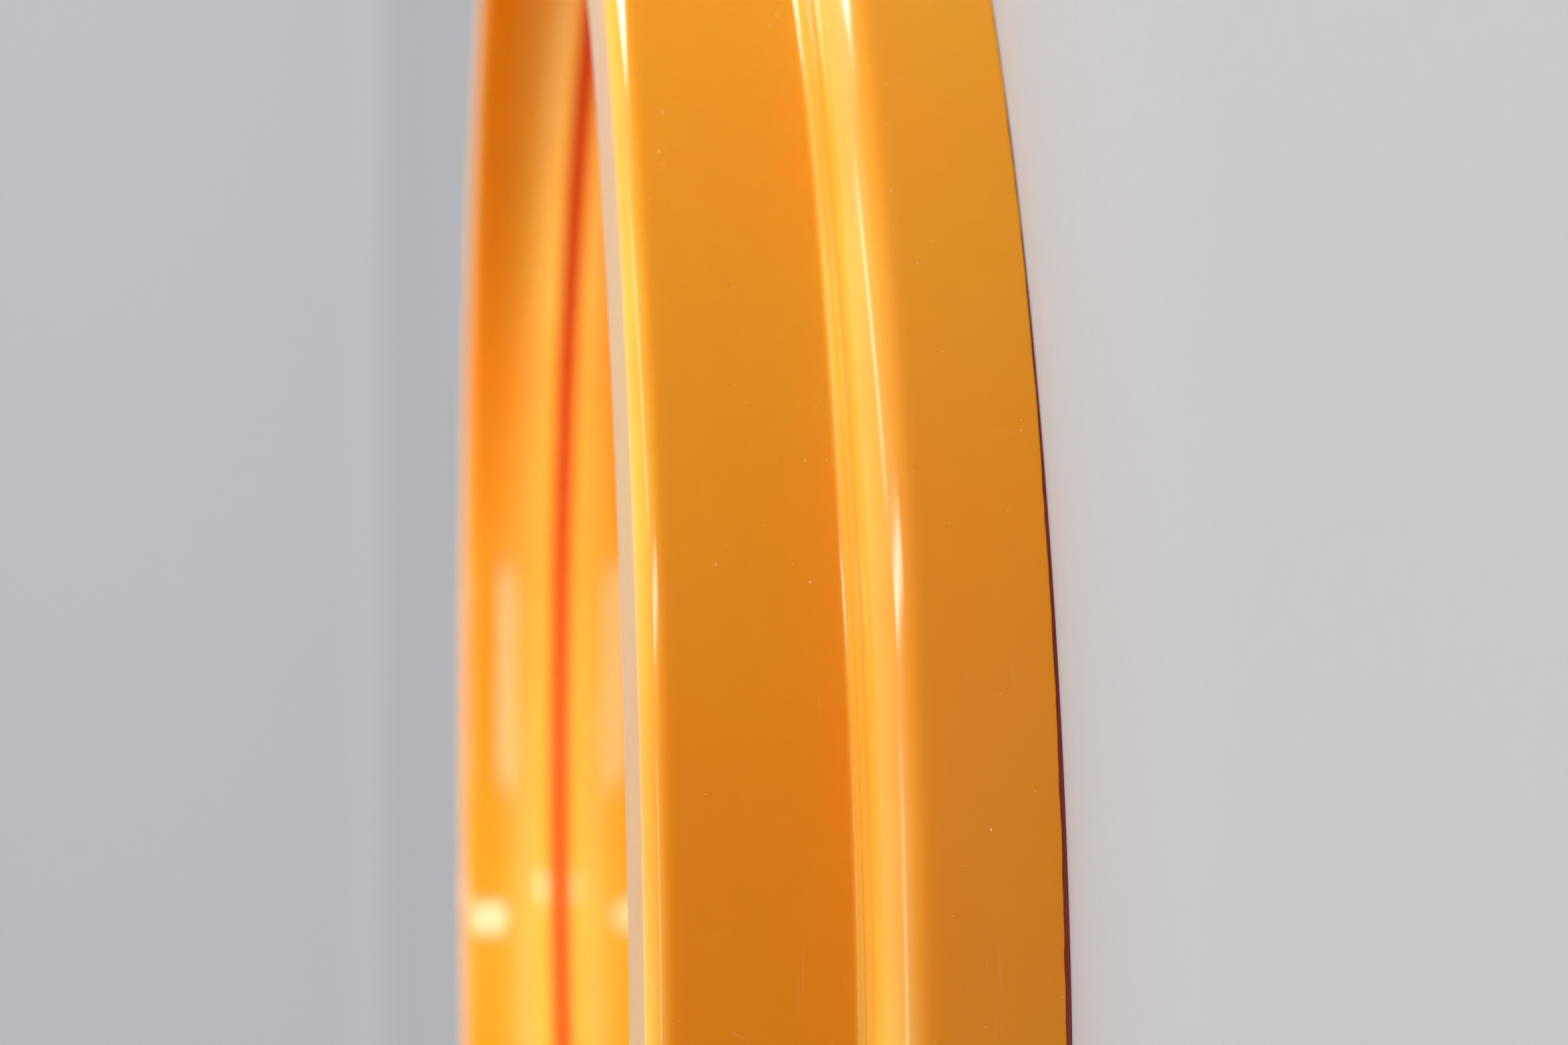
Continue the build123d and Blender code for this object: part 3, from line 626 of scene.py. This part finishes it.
def metal(name, base, rough, dull=0.35):
    mat = Shader(name)
    point = mat.coords()
    stain = mat.patches(point, scale=260.0, detail=5.0, rough=0.6,
                        span=(0.4, 0.75), out=(0.0, dull))
    tone = mat.mix(stain, base, tint(base, 0.55, 0.55, 0.55))
    fine = mat.noise(mat.coords(scale=(1, 1, 6)), scale=1500.0, rough=0.6)
    scratch = mat.hairlines(mat.coords(rotation=(0.2, 0.4, 0.9)),
                            along=150.0, across=5200.0, width=0.03, keep=0.4)
    polish = mat.patches(point, scale=420.0, detail=4.0,
                         span=(0.3, 0.75), out=(rough * 0.7, rough * 1.4))
    grain = mat.bump(fine, strength=0.3, distance=0.00003)
    return mat.principled(
        Base_Color=tone, Metallic=1.0, Anisotropic=0.4,
        Roughness=mat.calc("ADD", polish, mat.times(scratch, 0.15), clamp=True),
        Normal=mat.bump(scratch, strength=-0.4, distance=0.00002, normal=grain))


def ferrite(name, base):
    mat = Shader(name)
    point = mat.coords()
    cloud = mat.patches(point, scale=900.0, detail=5.0, rough=0.7,
                        span=(0.35, 0.75), out=(0.0, 0.7))
    grain = mat.noise(point, scale=1300.0, detail=4.0, rough=0.7)
    return mat.principled(
        Base_Color=mat.mix(cloud, base, tint(base, 1.9, 1.9, 1.9)), Metallic=0.25,
        Roughness=mat.patches(point, scale=300.0, span=(0.3, 0.7), out=(0.45, 0.65)),
        Normal=mat.bump(grain, strength=0.6, distance=0.00008))


# painted light for the sides of the +y limb: darker at its +x end, lighter and yellower at its
# -x end
BACK = (srgb(184, 111, 12), srgb(197, 140, 36))
WEB_SIDE, COLLAR_SIDE = srgb(212, 118, 18), srgb(208, 124, 20)

# the sunny and up colours are painted light: lit tones for the sides further +x and for the
# upward faces
frame_mat = gloss_plastic(
    "frame_plastic", wall=srgb(217, 128, 15), sunny=srgb(197, 133, 27), up=srgb(202, 154, 60),
    rough=0.15, uv="limb", coat=0.0, peel=0.07, shine=0.26, back=BACK)
rim_mat = gloss_plastic(
    "rim_plastic", wall=srgb(217, 125, 11), sunny=srgb(187, 131, 26), up=srgb(202, 154, 54),
    rough=0.11, uv="limb", coat_top=True, peel=0.07, shine=0.17, back=BACK,
    climb=(0.010, 0.021))
web_mat = gloss_plastic("web_plastic", wall=WEB_SIDE, sunny=WEB_SIDE, up=srgb(216, 122, 20),
                        rough=0.05, coat=1.0, wear=0.35, peel=0.35, shine=0.5)
collar_mat = gloss_plastic("collar_plastic", wall=COLLAR_SIDE, sunny=COLLAR_SIDE,
                           up=srgb(214, 146, 44), rough=0.15)
back_mat = matte_plastic("back_plastic", srgb(200, 116, 32))
inner_mat = matte_plastic("inner_plastic", srgb(196, 112, 36))
# the strip's deep crimson is the rubber's colour and also painted shade: it stands in for the
# shadow in the gap under the frame
strip_mat = rubber("strip_rubber", srgb(112, 10, 14), dust=srgb(124, 24, 20), shine=0.3)
# the gasket's deep red is the rubber's colour and also painted shade: it stands in for the
# inter-reflected crease at the foot of the rim
gasket_mat = rubber("gasket_rubber", srgb(190, 32, 6), dust=srgb(200, 46, 12), shine=0.1)
steel_mat = metal("screw_steel", srgb(190, 191, 194), rough=0.26)
brass_mat = metal("insert_brass", srgb(206, 168, 92), rough=0.24)
eyelet_mat = metal("eyelet_brass", srgb(214, 178, 100), rough=0.16, dull=0.2)
cup_mat = metal("cup_steel", srgb(182, 184, 188), rough=0.22)
magnet_mat = ferrite("magnet_ferrite", srgb(58, 58, 62))


def paint(obj, material):
    obj.data.materials.clear()
    obj.data.materials.append(material)


for build, node, material, slot in (
    (frame_piece, "edge_frame", frame_mat, "frame_plastic"),
    (rim_piece, "perimeter_rim", rim_mat, "rim_plastic"),
    (gasket_piece, "rim_gasket", gasket_mat, "gasket_rubber"),
    (strip_piece, "friction_strip", strip_mat, "strip_rubber"),
):
    piece = build()
    paint(piece, material)
    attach(piece, "root")
    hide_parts(node)

for node, material in {
    "web_plate": web_mat, "back_panel": back_mat,
    "head_collar": collar_mat, "tail_collar": collar_mat, "horn_collar": collar_mat,
    "hanging_eyelet": eyelet_mat, "eyelet_washer": eyelet_mat,
    "spacer_posts": inner_mat, "stiffening_ribs": inner_mat,
    "rim_screws": steel_mat, "rim_inserts": brass_mat, "back_screws": steel_mat,
    "magnet_cups": cup_mat, "magnets": magnet_mat,
}.items():
    paint(frame["nodes"][node], material)

# ---------------------------------------------------------------- floor and backdrop
FLOOR_R = 3.0                    # flat part of the bowl, m
BEND_R = 1.6                     # curve up from the floor to the upright side
BOWL_SIDES = 128
# painted light: strengths of the paper's own glow, far out and close to the curve
FAR_GLOW = 0.10
NEAR_GLOW = 0.20


def bowl_mesh():
    profile = [(1.6, 0.0), (FLOOR_R, 0.0)]
    profile += [(FLOOR_R + BEND_R * math.sin(a), BEND_R - BEND_R * math.cos(a))
                for a in np.linspace(0.1, math.pi / 2, 14)]
    profile += [(FLOOR_R + BEND_R, 2 * BEND_R)]
    turns = [2 * math.pi * k / BOWL_SIDES for k in range(BOWL_SIDES)]
    bm = bmesh.new()
    centre = bm.verts.new((0, 0, 0))
    rings = [[bm.verts.new((r * math.cos(a), r * math.sin(a), z)) for a in turns]
             for r, z in profile]
    for k in range(BOWL_SIDES):
        bm.faces.new((centre, rings[0][k], rings[0][(k + 1) % BOWL_SIDES]))
    for inner, outer in zip(rings, rings[1:]):
        for k in range(BOWL_SIDES):
            after = (k + 1) % BOWL_SIDES
            bm.faces.new((inner[k], outer[k], outer[after], inner[after]))
    for face in bm.faces:
        face.smooth = True
    mesh = bpy.data.meshes.new("studio_floor")
    bm.to_mesh(mesh)
    bm.free()
    return mesh


def paper():
    """Pale paper with painted light and shade: lighter close to the curve and towards +x,
    darker behind it and further out, and glowing faintly behind it, far out and close to it.
    """
    mat = Shader("studio_paper")
    point = mat.coords()
    position = mat.add("NewGeometry").outputs["Position"]
    length = mat.add("VectorMath", operation="LENGTH")
    mat.feed(length.inputs[0], position)
    reach = length.outputs["Value"]
    place = mat.separate(position)
    # painted light and shade: masks for the darker band behind the curve and the tones further
    # out
    back = mat.ramp(place["Y"], (-0.10, 0.55))
    far = mat.ramp(reach, (1.0, 1.9))
    beyond = mat.ramp(reach, (2.4, 4.6))
    base = (0.524, 0.526, 0.515, 1.0)
    fibre = mat.patches(point, scale=700.0, detail=4.0, rough=0.6,
                        span=(0.3, 0.7), out=(0.0, 0.25))
    tone = mat.mix(fibre, base, tint(base, 0.94, 0.94, 0.94))
    # painted light: lighter towards +x near the curve
    tone = mat.mix(mat.ramp(place["X"], (0.10, 0.34)),
                   mat.filtered(tone, 0.92, 0.925, 0.93), mat.filtered(tone, 1.08, 1.07, 1.065))
    # painted shade behind the curve, and darker tones further out
    tone = mat.mix(back, tone, (0.314, 0.314, 0.315, 1.0))
    tone = mat.mix(far, tone, (0.415, 0.414, 0.412, 1.0))
    tone = mat.mix(beyond, tone, (0.470, 0.468, 0.466, 1.0))
    # painted light across the whole floor, lighter towards +x
    tone = mat.mix(mat.ramp(place["X"], (-1.2, 1.6)),
                   mat.filtered(tone, 0.88, 0.89, 0.90), mat.filtered(tone, 1.07, 1.06, 1.055))
    # painted light: the paper glows a little close to the curve, standing in for light bounced
    # from the plastic
    near = mat.add("AmbientOcclusion", samples=8)
    mat.feed(near.inputs["Distance"], 0.045)
    grain = mat.noise(point, scale=1100.0, detail=4.0, rough=0.65)
    # painted light: a faint glow behind the curve and far out
    far_glow = mat.times(mat.calc("MAXIMUM", back, far), FAR_GLOW)
    near_glow = mat.times(mat.calc("SUBTRACT", 1.0, near.outputs["AO"]), NEAR_GLOW)
    return mat.principled(
        Base_Color=tone, Roughness=0.75, Specular_IOR_Level=0.3,
        Normal=mat.bump(grain, strength=0.25, distance=0.0001),
        Emission_Color=(0.97, 0.985, 1.0, 1.0),
        Emission_Strength=mat.calc("ADD", far_glow, near_glow))


floor = bpy.data.objects.new("studio_floor", bowl_mesh())
bpy.context.scene.collection.objects.link(floor)
paint(floor, paper())

# ---------------------------------------------------------------- light
# the small lamps light the curve only, so that they leave no pools on the paper
curve_only = bpy.data.collections.new("curve_only")
for piece in bpy.context.scene.objects:
    if piece.type == "MESH" and piece.name != "studio_floor":
        curve_only.objects.link(piece)


def area(name, at, to, wide, tall, power, colour, highlight, linked=True):
    """A lamp at one point facing another. A highlight is seen only in reflections, any
    other lamp never is; linked lamps light only the curve."""
    light = bpy.data.lights.new(name, "AREA")
    light.shape = "RECTANGLE"
    light.size = wide
    light.size_y = tall
    light.energy = power
    light.color = colour
    obj = bpy.data.objects.new(name, light)
    bpy.context.scene.collection.objects.link(obj)
    obj.location = at
    obj.visible_camera = False
    obj.visible_diffuse = not highlight
    obj.visible_glossy = highlight
    obj.rotation_mode = "QUATERNION"
    obj.rotation_quaternion = (Vector(to) - Vector(at)).to_track_quat("-Z", "Y")
    if linked:
        obj.light_linking.receiver_collection = curve_only
    return light


def towards(azimuth, elevation):
    """Unit vector; degrees anticlockwise from +x and up from the table."""
    turn, rise = math.radians(azimuth), math.radians(elevation)
    return Vector((math.cos(rise) * math.cos(turn), math.cos(rise) * math.sin(turn),
                   math.sin(rise)))


# broad diffuse lights aimed at the -y limb: name, azimuth, elevation, radiance, linked
SOFT_AIM = Vector((0.22, -0.05, 0.01))
SOFT_REACH = 1.4
SOFT_SIZE = 0.6
for name, azimuth, elevation, radiance, linked in (
    ("overhead", -90, 88, 0.11, False),
    ("front_low", -50, 15, 0.475, True),
    ("front_high", -50, 45, 0.16, False),
):
    area(name, SOFT_AIM + SOFT_REACH * towards(azimuth, elevation), SOFT_AIM, SOFT_SIZE,
         SOFT_SIZE, 10.0 * radiance, (1.0, 0.99, 0.98), highlight=False, linked=linked)

# lamps aimed at the +y limb: name, place, size, power
for name, at, size, power in (
    ("inner", (0.27, -0.06, 0.35), 0.10, 0.175),
    ("inner_right", (0.42, -0.05, 0.24), 0.10, 0.70),
    ("inner_end", (0.50, -0.08, 0.20), 0.10, 0.68),
    ("inner_left", (0.10, 0.0, 0.12), 0.05, 0.055),
    ("inner_far", (0.195, 0.035, 0.06), 0.03, 0.016),
):
    area(name, at, (0.20, 0.09, 0.015), size, size, power, (1.0, 0.99, 0.96), highlight=False)

# highlights placed by direction from a point on the curve:
# name, point, azimuth, elevation, width and height in degrees, radiance
GLEAM_REACH = 1.3
for name, origin, azimuth, elevation, width, height, radiance in (
    ("gleam_top", (0.253, -0.084, 0.015), 12.0, 28.0, 28.0, 15.0, 48.0),
    ("gleam_upper", (0.237, -0.092, 0.015), -20.0, 53.0, 26.0, 5.0, 14.0),
    ("gleam_middle", (0.2235, -0.098, 0.015), -53.6, 38.0, 4.2, 20.0, 34.0),
    ("gleam_lower", (0.208, -0.101, 0.015), -92.0, 55.0, 34.0, 4.0, 15.0),
    ("gleam_left", (0.212, 0.091, 0.015), -113.5, 19.0, 23.0, 26.0, 15.0),
):
    wide, tall = (2 * GLEAM_REACH * math.tan(math.radians(a / 2)) for a in (width, height))
    area(name, Vector(origin) + GLEAM_REACH * towards(azimuth, elevation), origin, wide, tall,
         radiance * math.pi * wide * tall, (1.0, 0.985, 0.96), highlight=True)

# two little lamps for soft spots on the +y limb: name, place, target, height, radiance
SPOT_WIDTH = 0.0022
for name, at, to, tall, radiance in (
    ("gleam_far", (0.1872, 0.079, 0.0166), (0.1880, 0.092, 0.0166), 0.0064, 11.0),
    ("gleam_far_step", (0.1878, 0.0965, 0.040), (0.1882, 0.0890, 0.012), 0.006, 16.0),
):
    spot = area(name, at, to, SPOT_WIDTH, tall, radiance * math.pi * SPOT_WIDTH * tall,
                (1.0, 0.97, 0.93), highlight=True)
    spot.spread = math.radians(90)

world = bpy.data.worlds.new("studio")
bpy.context.scene.world = world
world.use_nodes = True
background = world.node_tree.nodes["Background"]
background.inputs["Color"].default_value = (0.93, 0.95, 1.0, 1)
background.inputs["Strength"].default_value = 1.34

# ---------------------------------------------------------------- camera
EYE = (226.76, -264.66, 35.76)   # mm
FOCUS_Y = -103.5                 # mm
FOCUS_DROP = 0.028               # m, from the eye down to the focus point
PITCH, ROLL = 0.137, -0.005      # radians

# the camera looks along +y and a little down, turned on its side: its right is towards -z
eye = Vector(EYE) * MM
forward = Vector((0, math.cos(PITCH), -math.sin(PITCH)))
right = Vector((0, -math.sin(PITCH), -math.cos(PITCH)))
down = Vector((-1, 0, 0))
right, down = (math.cos(ROLL) * right - math.sin(ROLL) * down,
               math.sin(ROLL) * right + math.cos(ROLL) * down)
camera = bpy.data.cameras.new("camera")
camera.sensor_fit = "HORIZONTAL"
camera.sensor_width = 36.0
camera.lens = 79.5918367
camera.clip_start = 0.01
camera.clip_end = 50.0
focus = bpy.data.objects.new("focus", None)
bpy.context.scene.collection.objects.link(focus)
focus.location = eye + Vector((0, (FOCUS_Y - EYE[1]) * MM, -FOCUS_DROP))
camera.dof.use_dof = True
camera.dof.focus_object = focus
camera.dof.aperture_fstop = 36.0
camera.dof.aperture_blades = 7
camera_object = bpy.data.objects.new("camera", camera)
bpy.context.scene.collection.objects.link(camera_object)
pose = Matrix((right, -down, -forward)).transposed().to_4x4()
pose.translation = eye
camera_object.matrix_world = pose
bpy.context.scene.camera = camera_object

bpy.context.scene.view_settings.view_transform = "Standard"
bpy.context.scene.view_settings.look = "None"
